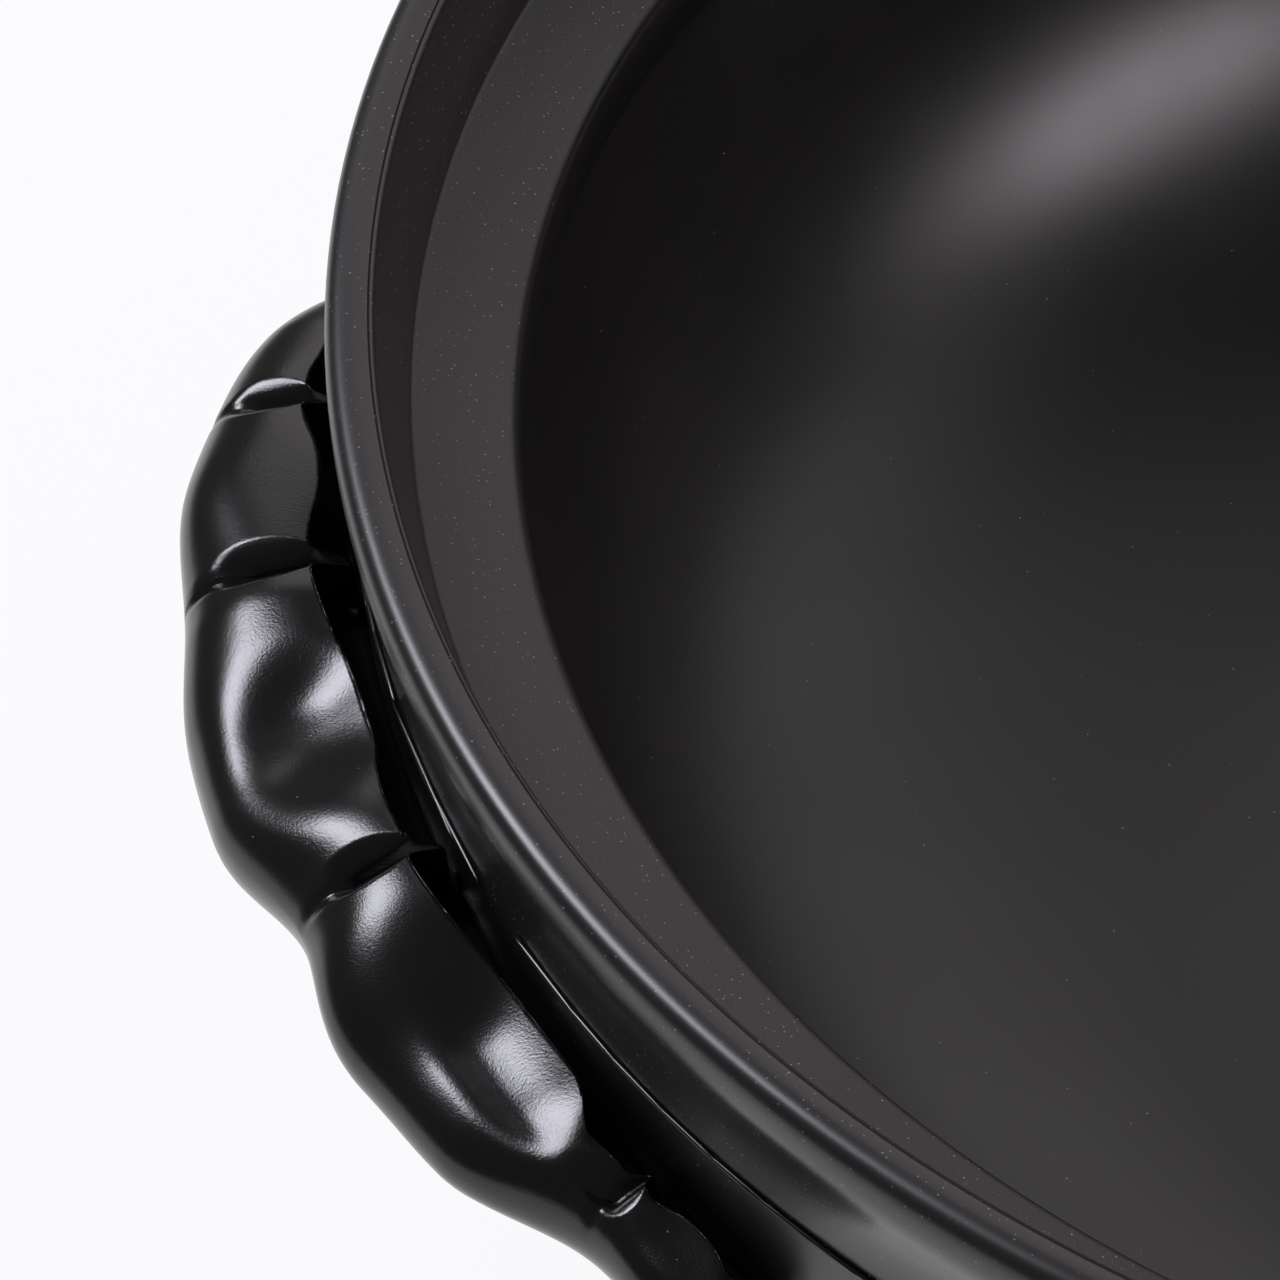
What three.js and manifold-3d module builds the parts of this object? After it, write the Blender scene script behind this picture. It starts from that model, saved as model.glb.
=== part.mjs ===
// Black-glazed earthenware casserole pot: a bowl with a lid ledge inside its lip, two pinched lug handles
// and a domed lid with a ring knob, which stands beside the pot as it does when the pot is open.
// Millimetres, +Z up. The origin is the middle of the pot's flat foot, on the table.
// The handles lie along X.
import * as THREE from 'three';
import Module from 'manifold-3d';
import { mergeVertices } from 'three/addons/utils/BufferGeometryUtils.js';

const wasm = await Module();
wasm.setup();

// Bowl: the rim, from the mouth outwards
const MOUTH_RADIUS = 112; // inner edge of the ledge that carries the lid
const LEDGE_HEIGHT = 69; // inner edge of the ledge above the table
const LEDGE_WIDTH = 8.5;
const LEDGE_RISE = 2.6; // the ledge slopes, so that broth runs back into the bowl
const LEDGE_DEPTH = 6; // thickness of the ledge's nose where it overhangs the bowl
const UNDERCUT_DROP = 6; // height over which the bowl widens under that nose
const MOUTH_ROUND = 1.4;
const LIP_RISE = 12.2; // top of the lip above the ledge's inner edge
const LIP_LEAN = 2.7; // how far the lip's inner wall leans out on its way up
const LIP_THICKNESS = 3.8;
const LIP_ROUND = 1.9; // outer shoulder of the lip
const LIP_EDGE_ROUND = 0.6; // inner edge of the lip
const LIP_OVERHANG = 2; // the lip's bead stands proud of the neck below it

// Bowl: the body
const WALL_THICKNESS = 9;
const FOOT_RADIUS = 60;
const FOOT_HEIGHT = 4;
const FOOT_ROUND = 1.5;
const BELLY_FULLNESS = 0.6; // how far the belly runs out flat from the foot before it turns up
const BELLY_TURN = 0.35; // share of the belly's height where it has turned upright

// Handles: a lug of petals, pressed hollow by a thumb and parted by creases
const HANDLE_DROP = 14.2; // top of the lug below the rim
const HANDLE_REACH = 15.2; // how far the lug stands out from the neck
const FRONT_REACH = 13.6; // the same past the third crease, where the lug is pressed down and back
const FRONT_SAG = 2.2; // how far its top is pressed down there
const FRONT_THINNING = 0.2; // share of its thickness that this takes
const FRONT_RUN = 13; // length along the neck from the one to the other
const PETAL_LENGTHS = [16, 18.5, 32, 33, 13.5]; // along the neck, from the back of the left lug to its front
const CREASE_DENTS = [0.3, 0.9, 2.4, 3]; // how far the outer edge draws in at each crease
const DENT_LENGTH = 24;
const END_FULLNESS = 2.5; // outline of the lug's ends seen from above: 2 is an ellipse, more is squarer
const END_FALL = 4; // drop of the lug's top towards its ends
const NOSE_DROP = 6.6; // widest line of the outer edge below the lug's top
const NOSE_UNDER = 6; // underside of the lug below that line
const NOSE_DEPTH = 5.5;
const NOSE_FULLNESS = 2.5; // section of the top's outer edge: 2 is an ellipse, more is squarer
const ROOT_DROP = 5; // the lug's underside runs down towards the wall
const RIDGE_OFFSETS = [3.6, 1.8]; // the ridge that the pressing leaves, from the wall, at the lug's two ends
const GROOVE_DEPTH = 6; // the groove between that ridge and the wall
const HOLLOW_DEPTHS = [0.6, 0.5, 2, 2.5, 1.2]; // the thumb's hollow in each petal
const HOLLOW_PLACE = 0.42; // its middle, from 0 at the ridge to 1 at the outer edge
const HOLLOW_REACH = 0.56; // its half width, in the same measure
const CREASE_DEPTH = 1.7;
const CREASE_WIDTH = 4.4;
const CREASE_END_WIDTH = 0.45; // share of that width left at a crease's two ends
const CREASE_FADE = [0.5, 0.88]; // where a crease starts to run out and has run out, in the hollow's measure
const END_THICKNESS = 0.4; // share of the lug's thickness left at its ends
const SLIP_GAP = 0.3; // thickness of the slip that joins one clay piece to another

// Lid
const LID_CLEARANCE = 1.5; // play between the lid's edge and the lip
const LID_RISE = 36; // crown of the lid above its edge
const LID_THICKNESS = 7;
const LID_EDGE_HEIGHT = 6;
const LID_EDGE_ROUND = 1.2;
const LID_FOOT_WIDTH = 4; // the flat rim that sits on the ledge
const CROWN_MARGIN = 8; // flat crown left round the knob's foot
const VENT_RADIUS = 5; // steam hole
const VENT_SETBACK = 30; // from the crown's edge down the dome
const KNOB_RADIUS = 30;
const KNOB_PINCH = 5; // how far the knob's flank draws in below its top
const KNOB_HEIGHT = 17;
const KNOB_WALL = 6;
const KNOB_ROUND = 2;
const LID_STAND_GAP = 16.7; // space on the table between the right handle and the lid

// Facets
const BOWL_SEGMENTS = 64;
const LID_SEGMENTS = 60;
const KNOB_SEGMENTS = 40;
const VENT_SEGMENTS = 16;
const BELLY_STEPS = 9;
const SLICE_SPACING = 4.7; // between the slices of a petal
const SAME_POINT = 1e-4;

// Sizes that follow from these
const ledgeOuterRadius = MOUTH_RADIUS + LEDGE_WIDTH;
const ledgeOuterHeight = LEDGE_HEIGHT + LEDGE_RISE;
const lipInnerRadius = ledgeOuterRadius + LIP_LEAN;
const rimRadius = lipInnerRadius + LIP_THICKNESS;
const rimHeight = LEDGE_HEIGHT + LIP_RISE;
const neckRadius = rimRadius - LIP_OVERHANG;
const handleTop = rimHeight - HANDLE_DROP;
const lipRound = Math.min(LIP_ROUND, 0.6 * LIP_THICKNESS);
const lipEdgeRound = Math.min(LIP_EDGE_ROUND, 0.3 * LIP_THICKNESS);
const lidRadius = ledgeOuterRadius - LID_CLEARANCE;
const knobFootRadius = KNOB_RADIUS - KNOB_WALL / 3;
const crownRadius = knobFootRadius + CROWN_MARGIN;
const lidPlace = neckRadius + HANDLE_REACH + LID_STAND_GAP + lidRadius;

const point = (r, z) => new THREE.Vector2(r, z);
const line = (...points) => points;
const bend = (from, corner, to, steps) => new THREE.QuadraticBezierCurve(from, corner, to).getPoints(steps);

// Joins runs of points into one outline, without the doubled points where two runs meet.
function outline(...runs) {
  const points = runs.flat();
  return points.filter((p, i) => i === 0 || p.distanceTo(points[i - 1]) > SAME_POINT);
}

// The same curve, moved to its left by a wall's thickness.
function offsetPoints(curve, thickness, from, to, steps) {
  return Array.from({ length: steps + 1 }, (_, i) => {
    const t = from + ((to - from) * i) / steps;
    const along = curve.getTangent(t);
    return curve.getPoint(t).add(point(-along.y, along.x).multiplyScalar(thickness));
  });
}

// Where a curve that only rises passes a height.
function parameterAt(height, heightAt) {
  let [low, high] = [0, 1];
  for (let i = 0; i < 40; i++) {
    const middle = (low + high) / 2;
    if (heightAt(middle) < height) low = middle;
    else high = middle;
  }
  return (low + high) / 2;
}

function toSolid(geometry) {
  const bare = geometry.clone().deleteAttribute('normal').deleteAttribute('uv');
  const merged = mergeVertices(bare, SAME_POINT);
  return new wasm.Manifold(new wasm.Mesh({
    numProp: 3,
    vertProperties: merged.attributes.position.array,
    triVerts: new Uint32Array(merged.index.array),
  }));
}

function toGeometry(solid) {
  const { vertProperties, triVerts } = solid.getMesh();
  return new THREE.BufferGeometry()
    .setAttribute('position', new THREE.BufferAttribute(vertProperties, 3))
    .setIndex(new THREE.BufferAttribute(triVerts, 1));
}

// Turns an outline of radius and height about the Z axis.
function turned(points, segments) {
  return new THREE.LatheGeometry(points, segments).rotateX(Math.PI / 2);
}

// The outside of the bowl, from the foot to the neck, where the handles sit
const belly = new THREE.CubicBezierCurve(
  point(FOOT_RADIUS, FOOT_HEIGHT),
  point(FOOT_RADIUS + BELLY_FULLNESS * (neckRadius - FOOT_RADIUS), FOOT_HEIGHT),
  point(neckRadius, FOOT_HEIGHT + BELLY_TURN * (handleTop - FOOT_HEIGHT)),
  point(neckRadius, handleTop),
);
const bellyHeight = (t) => belly.getPoint(t).y;
const wallRadius = (height) => belly.getPoint(parameterAt(height, bellyHeight)).x;

function bowlOutline() {
  const foot = outline(
    line(point(0, 0)),
    bend(point(FOOT_RADIUS - FOOT_ROUND, 0), point(FOOT_RADIUS, 0), point(FOOT_RADIUS, FOOT_ROUND), 3),
  );
  const neck = new THREE.CubicBezierCurve(
    point(neckRadius, handleTop),
    point(neckRadius, (handleTop + rimHeight) / 2),
    point(rimRadius, (handleTop + rimHeight) / 2),
    point(rimRadius, rimHeight - lipRound),
  );
  const shoulder = point(rimRadius, rimHeight);
  const lipEdge = point(lipInnerRadius, rimHeight);
  const lipWall = point(LIP_LEAN, LIP_RISE - LEDGE_RISE).normalize().multiplyScalar(lipEdgeRound);
  const lip = outline(
    neck.getPoints(4),
    bend(point(rimRadius, rimHeight - lipRound), shoulder, point(rimRadius - lipRound, rimHeight), 4),
    bend(point(lipInnerRadius + lipEdgeRound, rimHeight), lipEdge, lipEdge.clone().sub(lipWall), 2),
  );
  const mouth = point(MOUTH_RADIUS, LEDGE_HEIGHT);
  const ledgeSlope = point(LEDGE_WIDTH, LEDGE_RISE).normalize().multiplyScalar(MOUTH_ROUND);
  const ledge = outline(
    line(point(ledgeOuterRadius, ledgeOuterHeight)),
    bend(mouth.clone().add(ledgeSlope), mouth, point(MOUTH_RADIUS, LEDGE_HEIGHT - MOUTH_ROUND), 3),
  );
  // Under the ledge the bowl is wider than its mouth, because its wall is thinner than the rim.
  const noseFoot = point(MOUTH_RADIUS, LEDGE_HEIGHT - LEDGE_DEPTH);
  const innerHeight = (t) => bellyHeight(t) + WALL_THICKNESS * belly.getTangent(t).x;
  const innerTop = parameterAt(noseFoot.y - UNDERCUT_DROP, innerHeight);
  const inside = offsetPoints(belly, WALL_THICKNESS, innerTop, 0, BELLY_STEPS);
  const under = bend(noseFoot, point(inside[0].x, noseFoot.y - UNDERCUT_DROP / 3), inside[0], 4);
  const floor = line(point(0, FOOT_HEIGHT + WALL_THICKNESS));
  return outline(foot, belly.getPoints(BELLY_STEPS), lip, ledge, under, inside, floor);
}

// Places along the neck are lengths from the middle of the lug.
const halfLength = PETAL_LENGTHS.reduce((sum, length) => sum + length, 0) / 2;
const petalEdges = PETAL_LENGTHS.reduce((edges, length) => [...edges, edges.at(-1) + length], [-halfLength]);
const creases = petalEdges.slice(1, -1);
const END_SHARE = 0.993; // the lug stops just short of the point where it would run out to nothing

const { clamp, degToRad, lerp, smoothstep } = THREE.MathUtils;

// A smooth hump: 1 in its middle and 0 from a distance of reach on.
const hump = (distance, reach) => Math.cos((Math.PI / 2) * clamp(distance / reach, -1, 1)) ** 2;

// Which petal a place lies on, and how far across it, from 0 at one crease to 1 at the next.
function petalAt(along) {
  const next = petalEdges.findIndex((edge) => edge > along);
  const index = clamp(next - 1, 0, PETAL_LENGTHS.length - 1);
  return { index, across: (along - petalEdges[index]) / PETAL_LENGTHS[index] };
}

// Depth of the wedge-shaped creases, for a place across the top from 0 at the ridge to 1 at the outer edge.
function creaseDepth(along, outward) {
  const away = Math.min(...creases.map((crease) => Math.abs(along - crease)));
  const halfWidth = (CREASE_WIDTH / 2) * lerp(CREASE_END_WIDTH, 1, Math.sin(Math.PI * outward));
  return CREASE_DEPTH * (1 - smoothstep(outward, ...CREASE_FADE)) * Math.max(0, 1 - away / halfWidth);
}

// One upright slice through the lug, as points of radius and height: out along its underside, round its nose,
// back over its top, down into the groove and down the wall.
function handleSlice(along) {
  const span = (1 - Math.abs(along / halfLength) ** END_FULLNESS) ** (1 / END_FULLNESS);
  const front = smoothstep(along, creases[2], creases[2] + FRONT_RUN);
  const petal = petalAt(along);
  const hollow = HOLLOW_DEPTHS[petal.index] * Math.sin(Math.PI * petal.across) ** 2;
  const dents = CREASE_DENTS.map((dent, i) => dent * hump(along - creases[i], DENT_LENGTH / 2));
  const dent = dents.reduce((sum, each) => sum + each, 0);
  const reach = span * (lerp(HANDLE_REACH, FRONT_REACH, front) - dent);
  const thickness = lerp(END_THICKNESS, 1, span) * (1 - FRONT_THINNING * front);
  const ridgeOffset = Math.min(lerp(...RIDGE_OFFSETS, (along / halfLength + 1) / 2), reach / 3);
  const ridgeHeight = handleTop - END_FALL * (along / halfLength) ** 4 - FRONT_SAG * front;
  const widest = ridgeHeight - NOSE_DROP * thickness;
  const bottom = widest - NOSE_UNDER * thickness;
  const rootHeight = bottom - ROOT_DROP * span;
  const grooveFoot = ridgeHeight - GROOVE_DEPTH * thickness;
  const noseDepth = Math.min(NOSE_DEPTH, reach / 2);
  const onWall = (height) => point(wallRadius(height) + SLIP_GAP, height);

  const nose = [-80, -50, -24].map((degrees) => {
    const a = degToRad(degrees);
    const back = noseDepth * (1 - Math.cos(a));
    return point(neckRadius + reach - back, widest + (widest - bottom) * Math.sin(a));
  });
  const underside = bend(onWall(rootHeight), point(nose[0].x - reach / 4, bottom), nose[0], 4);
  const top = [0, 0.2, 0.38, 0.54, 0.68, 0.8, 0.9, 1].map((share) => {
    const a = (Math.PI / 2) * share;
    const outward = Math.cos(a) ** (2 / NOSE_FULLNESS);
    const fall = (1 - Math.sin(a) ** (2 / NOSE_FULLNESS)) * (ridgeHeight - widest);
    const pressed = hollow * hump(outward - HOLLOW_PLACE, HOLLOW_REACH) + creaseDepth(along, outward);
    return point(neckRadius + lerp(ridgeOffset, reach, outward), ridgeHeight - fall - span * pressed);
  });
  const groove = bend(top.at(-1), point(neckRadius + ridgeOffset, grooveFoot), onWall(grooveFoot), 3);
  const inside = [0.34, 0.67].map((share) => onWall(lerp(grooveFoot, rootHeight, share)));
  return [...underside, ...nose.slice(1), ...top, ...groove.slice(1), ...inside];
}

// Places to slice the lug at: close together across each crease, and spread over each petal.
function slicePlaces() {
  const across = [-1, -0.5, 0, 0.5, 1].map((share) => (share * CREASE_WIDTH) / 2);
  const creased = creases.flatMap((crease) => across.map((offset) => crease + offset));
  const ends = [0.82, 0.9, 0.96, 1].map((share) => share * halfLength * END_SHARE);
  const petals = PETAL_LENGTHS.slice(1, -1).flatMap((length, i) => {
    const steps = Math.max(4, Math.round(length / SLICE_SPACING));
    return Array.from({ length: steps - 1 }, (_, step) => creases[i] + ((step + 1) / steps) * length);
  });
  return [...creased, ...petals, ...ends, ...ends.map((place) => -place)].sort((a, b) => a - b);
}

// Skins the slices in order and closes the two ends.
function handleGeometry() {
  const places = slicePlaces();
  const slices = places.map((along) => {
    const [c, s] = [Math.cos(along / neckRadius), Math.sin(along / neckRadius)];
    return handleSlice(along).map(({ x, y }) => new THREE.Vector3(x * c, x * s, y));
  });
  const count = slices[0].length;
  const corners = slices.flat();
  const faces = [];
  for (let i = 0; i + 1 < slices.length; i++) {
    for (let j = 0; j < count; j++) {
      const [a, b] = [i * count + j, i * count + ((j + 1) % count)];
      faces.push([a, a + count, b], [b, a + count, b + count]);
    }
  }
  const last = (slices.length - 1) * count;
  const flat = handleSlice(places[0]);
  for (const [a, b, c] of THREE.ShapeUtils.triangulateShape(flat, [])) {
    faces.push([a, b, c], [last + a, last + c, last + b]);
  }
  return new THREE.BufferGeometry().setFromPoints(corners).setIndex(faces.flat());
}

// The outside of the lid, from its edge to the flat crown that carries the knob
const dome = new THREE.CubicBezierCurve(
  point(lidRadius, LID_EDGE_HEIGHT),
  point(lidRadius - LID_RISE * 0.5, LID_RISE * 0.72),
  point((lidRadius + crownRadius) / 2, LID_RISE),
  point(crownRadius, LID_RISE),
);

function lidOutline() {
  const footInner = lidRadius - LID_EDGE_ROUND - LID_FOOT_WIDTH;
  const insideHeight = (t) => dome.getPoint(t).y + LID_THICKNESS * dome.getTangent(t).x;
  const start = parameterAt(LID_EDGE_HEIGHT / 2, insideHeight);
  const inside = offsetPoints(dome, LID_THICKNESS, 1, start, 9);
  return outline(
    line(point(0, LID_RISE - LID_THICKNESS)),
    inside,
    line(point(footInner, 0)),
    bend(point(lidRadius - LID_EDGE_ROUND, 0), point(lidRadius, 0), point(lidRadius, LID_EDGE_ROUND), 3),
    dome.getPoints(10),
    line(point(0, LID_RISE)),
  );
}

function lidGeometry() {
  const vent = new THREE.CylinderGeometry(VENT_RADIUS, VENT_RADIUS, 2 * LID_RISE, VENT_SEGMENTS)
    .rotateX(Math.PI / 2)
    .translate(crownRadius + VENT_SETBACK, 0, LID_RISE);
  return toGeometry(toSolid(turned(lidOutline(), LID_SEGMENTS)).subtract(toSolid(vent)));
}

// The knob is a ring, like a second foot, so that the lid also stands upside down as a dish.
function knobOutline() {
  const top = KNOB_HEIGHT;
  const inner = KNOB_RADIUS - KNOB_WALL;
  const round = Math.min(KNOB_ROUND, 0.4 * KNOB_WALL);
  const outerWaist = point(KNOB_RADIUS - KNOB_PINCH, top / 2);
  const innerWaist = point(inner - KNOB_PINCH, top / 2);
  const ring = outline(
    bend(point(knobFootRadius, 0), outerWaist, point(KNOB_RADIUS, top - round), 5),
    bend(point(KNOB_RADIUS, top - round), point(KNOB_RADIUS, top), point(KNOB_RADIUS - round, top), 3),
    bend(point(inner + round, top), point(inner, top), point(inner, top - round), 3),
    bend(point(inner, top - round), innerWaist, point(knobFootRadius - KNOB_WALL, 0), 5),
  );
  return [...ring, ring[0].clone()];
}

const blackGlaze = { color: 0x161415, roughness: 0.38, metalness: 0 };

function piece(name, geometry) {
  const mesh = new THREE.Mesh(geometry, new THREE.MeshStandardMaterial(blackGlaze));
  mesh.name = name;
  return mesh;
}

const pot = new THREE.Group();
const rightHandle = piece('right_handle', handleGeometry());
const leftHandle = piece('left_handle', handleGeometry());
leftHandle.rotation.z = Math.PI;
pot.add(piece('bowl', turned(bowlOutline(), BOWL_SEGMENTS)), leftHandle, rightHandle);

const lid = new THREE.Group();
const knob = piece('lid_knob', turned(knobOutline(), KNOB_SEGMENTS));
knob.position.z = LID_RISE + SLIP_GAP;
lid.add(piece('lid', lidGeometry()), knob);
lid.position.x = lidPlace;

const casserole = new THREE.Group();
casserole.add(pot, lid);

export default casserole;
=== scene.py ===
# %% [markdown]
# A black-glazed casserole pot
#
# The pot is earthenware: a bowl with a ledge for the lid inside its lip, two lug handles pinched into petals,
# and a domed lid with a ring knob, which stands beside the pot while it is open. All sizes are in metres, in the
# frame of the CAD model, with the pot's foot on the floor at the origin and the handles along X.

# %% Load the frame
import math

import bmesh
import bpy
import numpy as np
from mathutils import Matrix, Vector, noise


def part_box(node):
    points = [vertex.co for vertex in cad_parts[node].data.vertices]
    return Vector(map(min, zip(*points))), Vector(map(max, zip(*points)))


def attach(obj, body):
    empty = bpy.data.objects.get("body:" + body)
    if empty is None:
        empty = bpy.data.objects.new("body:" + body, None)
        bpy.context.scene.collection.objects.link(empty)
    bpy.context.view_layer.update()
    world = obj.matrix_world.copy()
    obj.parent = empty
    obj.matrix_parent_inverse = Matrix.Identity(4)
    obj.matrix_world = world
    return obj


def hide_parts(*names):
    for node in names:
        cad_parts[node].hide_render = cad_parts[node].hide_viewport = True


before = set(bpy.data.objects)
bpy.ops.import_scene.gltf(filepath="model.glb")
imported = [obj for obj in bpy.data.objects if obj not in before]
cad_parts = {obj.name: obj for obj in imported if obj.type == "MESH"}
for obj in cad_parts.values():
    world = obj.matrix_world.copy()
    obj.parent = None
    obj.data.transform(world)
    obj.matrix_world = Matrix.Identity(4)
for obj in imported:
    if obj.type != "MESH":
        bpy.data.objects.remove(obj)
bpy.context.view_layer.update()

MM = 0.001
scene = bpy.context.scene

# %% [markdown]
# The camera looks down on the left handle from the front. A long lens stands for a product photographer's
# telephoto: the rim's ellipse is almost the one that a parallel view would give. Its place is written as a point
# to look at, two angles and a distance, which is easier to read than a matrix.

# %% Place the camera
VIEW_AIM = Vector((-105.9, 3.5, 69.0)) * MM
VIEW_AZIMUTH = -16.27
VIEW_ELEVATION = 44.1
VIEW_DISTANCE = 761 * MM
LENS_MM = 281.25
SENSOR_MM = 36


def direction(azimuth, elevation):
    """The way a camera looks when it stands at this azimuth and elevation, in degrees."""
    a, e = math.radians(azimuth), math.radians(elevation)
    return Vector((-math.sin(a) * math.cos(e), math.cos(a) * math.cos(e), -math.sin(e)))


look = direction(VIEW_AZIMUTH, VIEW_ELEVATION)
camera_data = bpy.data.cameras.new("camera")
camera_data.lens = LENS_MM
camera_data.sensor_width = SENSOR_MM
camera_data.clip_start = 10 * MM
camera_data.clip_end = 50
camera = bpy.data.objects.new("camera", camera_data)
camera.location = VIEW_AIM - look * VIEW_DISTANCE
camera.rotation_euler = look.to_track_quat("-Z", "Y").to_euler()
scene.collection.objects.link(camera)
scene.camera = camera
print("camera at", [round(c, 4) for c in camera.location])

# %% [markdown]
# Shaders and Geometry Nodes are both node trees. This small helper adds a node, fills in its inputs with numbers or
# links, and hands back what the next node needs, so that a tree reads from top to bottom like a recipe.

# %% Make a helper for node trees


class Nodes:
    """A short way to add nodes to a tree and to link them."""

    def __init__(self, tree):
        self.tree = tree

    def plug(self, socket, value):
        if isinstance(value, bpy.types.NodeSocket):
            self.tree.links.new(value, socket)
        else:
            socket.default_value = value

    def add(self, kind, inputs=(), **settings):
        node = self.tree.nodes.new(kind)
        for name, value in settings.items():
            setattr(node, name, value)
        for name, value in dict(inputs).items():
            self.plug(node.inputs[name], value)
        return node

    def math(self, operation, a, b=0.0):
        return self.add("ShaderNodeMath", {0: a, 1: b}, operation=operation).outputs[0]

    def span(self, value, low, high, to_low=0.0, to_high=1.0):
        ranges = {"From Min": low, "From Max": high, "To Min": to_low, "To Max": to_high}
        return self.add("ShaderNodeMapRange", {"Value": value, **ranges}).outputs["Result"]

    def mix(self, factor, a, b):
        node = self.add("ShaderNodeMix", {"Factor": factor}, data_type="RGBA")
        self.plug(node.inputs[6], a)
        self.plug(node.inputs[7], b)
        return node.outputs[2]

    def noise(self, place, size, detail=2.0, roughness=0.5):
        inputs = {"Vector": place, "Scale": 1 / size, "Detail": detail, "Roughness": roughness}
        return self.add("ShaderNodeTexNoise", inputs).outputs["Fac"]

    def attribute(self, name):
        return self.add("ShaderNodeAttribute", attribute_name=name).outputs["Fac"]


print("node helper:", [name for name in vars(Nodes) if not name.startswith("_")])


# %% [markdown]
# The glaze is one recipe for every piece, because the pot is fired in one glaze. It is a black mirror that a fine
# skin blurs to satin: a low base colour, a middling roughness, and a bump of orange peel. An image could give it
# too, but noise on Object coordinates needs no unwrapping and holds at any distance. Five attributes on the meshes
# say where it differs: matte on the ledge, where it is rubbed for the lid, dusty on the ledge and the lip, glossy
# outside, bare where the potter wiped it off so that the pot doesn't stick to the kiln shelf, and thin on sharp
# edges, where it runs off and the clay shows.

# %% Make the black glaze
BLACK = (0.0060, 0.0052, 0.0048, 1)
SMOKE = (0.0105, 0.0085, 0.0074, 1)
HAZE = (0.019, 0.0168, 0.0165, 1)
RUST = (0.085, 0.030, 0.014, 1)
CLAY = (0.33, 0.15, 0.085, 1)
DARK_CLAY = (0.25, 0.105, 0.06, 1)
DUST = (0.24, 0.215, 0.185, 1)
SPECK_SPACING = 0.55 * MM
SPECK_SIZE = 0.085 * MM
SMALLEST_SPECK = 0.4
SPECK_HEIGHT = 0.02 * MM
SPECK_SHARES = (0.02, 0.7)
CLOUD_SIZE = 18 * MM
GRAIN_SIZE = 0.2 * MM
BREAK_SIZE = 0.8 * MM
SATIN_SPREAD = 0.02
MATTE_ROUGHNESS = 0.12
MATTE_GRAIN = 0.035 * MM
GLOSS = 0.07
BARE_ROUGHNESS = 0.9


def specks(nodes, place, spacing, size, share):
    """Small round spots: one in each cell of a Voronoi pattern, in a share of the cells."""
    cells = nodes.add("ShaderNodeTexVoronoi", {"Vector": place, "Scale": 1 / spacing})
    chosen = nodes.add("ShaderNodeSeparateColor", {"Color": cells.outputs["Color"]})
    radius = nodes.span(chosen.outputs["Green"], 0, 1, size / spacing * SMALLEST_SPECK, size / spacing)
    inside = nodes.math("LESS_THAN", cells.outputs["Distance"], radius)
    return nodes.math("MULTIPLY", inside, nodes.math("LESS_THAN", chosen.outputs["Red"], share))


def black_glaze(name, satin, peel_size, peel_height, grain_height):
    """The fired glaze: how rough it is, how wide and deep its orange-peel skin is, and how deep its fine grain."""
    material = bpy.data.materials.new(name)
    material.use_nodes = True
    nodes = Nodes(material.node_tree)
    shader = material.node_tree.nodes["Principled BSDF"]
    place = nodes.add("ShaderNodeTexCoord").outputs["Object"]

    differs = ("matte", "bare", "thin", "dusty", "glossy")
    matte, bare, thin, dusty, glossy = (nodes.attribute(name) for name in differs)
    cloud = nodes.noise(place, CLOUD_SIZE, 3)
    peel = nodes.noise(place, peel_size, 2, 0.5)
    grain = nodes.noise(place, GRAIN_SIZE, 2, 0.6)
    broken = nodes.noise(place, BREAK_SIZE, 3, 0.7)
    dust = specks(nodes, place, SPECK_SPACING, SPECK_SIZE, nodes.span(dusty, 0, 1, *SPECK_SHARES))
    runs_off = nodes.math("MULTIPLY", thin, nodes.span(broken, 0.6, 0.7))

    colour = nodes.mix(cloud, BLACK, SMOKE)
    colour = nodes.mix(dusty, colour, HAZE)
    colour = nodes.mix(runs_off, colour, RUST)
    colour = nodes.mix(dust, colour, DUST)
    colour = nodes.mix(bare, colour, nodes.mix(cloud, CLAY, DARK_CLAY))
    nodes.plug(shader.inputs["Base Color"], colour)

    rough = nodes.span(cloud, 0.3, 0.7, satin - SATIN_SPREAD, satin + SATIN_SPREAD)
    rough = nodes.math("ADD", rough, nodes.math("MULTIPLY", matte, MATTE_ROUGHNESS))
    rough = nodes.math("SUBTRACT", rough, nodes.math("MULTIPLY", glossy, GLOSS))
    rough = nodes.math("MAXIMUM", rough, nodes.math("MULTIPLY", bare, BARE_ROUGHNESS))
    nodes.plug(shader.inputs["Roughness"], rough)

    height = nodes.math("MULTIPLY", peel, peel_height)
    fine = nodes.span(matte, 0, 1, grain_height, grain_height + MATTE_GRAIN)
    height = nodes.math("ADD", height, nodes.math("MULTIPLY", grain, fine))
    height = nodes.math("ADD", height, nodes.math("MULTIPLY", dust, SPECK_HEIGHT))
    bump = nodes.add("ShaderNodeBump", {"Height": height, "Distance": 1.0, "Strength": 1.0})
    nodes.plug(shader.inputs["Normal"], bump.outputs["Normal"])
    return material


BOWL_GLAZE = black_glaze("satin_black_bowl", 0.33, 1.2 * MM, 0.003 * MM, 0.003 * MM)
HANDLE_GLAZE = black_glaze("satin_black_handle", 0.20, 0.7 * MM, 0.004 * MM, 0.017 * MM)
LID_GLAZE = black_glaze("satin_black_lid", 0.33, 1.2 * MM, 0.003 * MM, 0.003 * MM)
SLIP_GLAZE = black_glaze("glossy_black_slip", 0.14, 0.7 * MM, 0.002 * MM, 0.001 * MM)
print("materials:", [m.name for m in bpy.data.materials])

# %% [markdown]
# Everything round on a pot is turned on a wheel, so the bowl, the lid and the knob share one rule: an outline of
# radius and height, swept round the axis. Blender's Screw modifier or bmesh's spin would do it. Geometry Nodes does
# it as well with Curve to Mesh along a circle, and keeps the rule as a tree that can be used again for each piece.

# %% Build the turning tree


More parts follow.
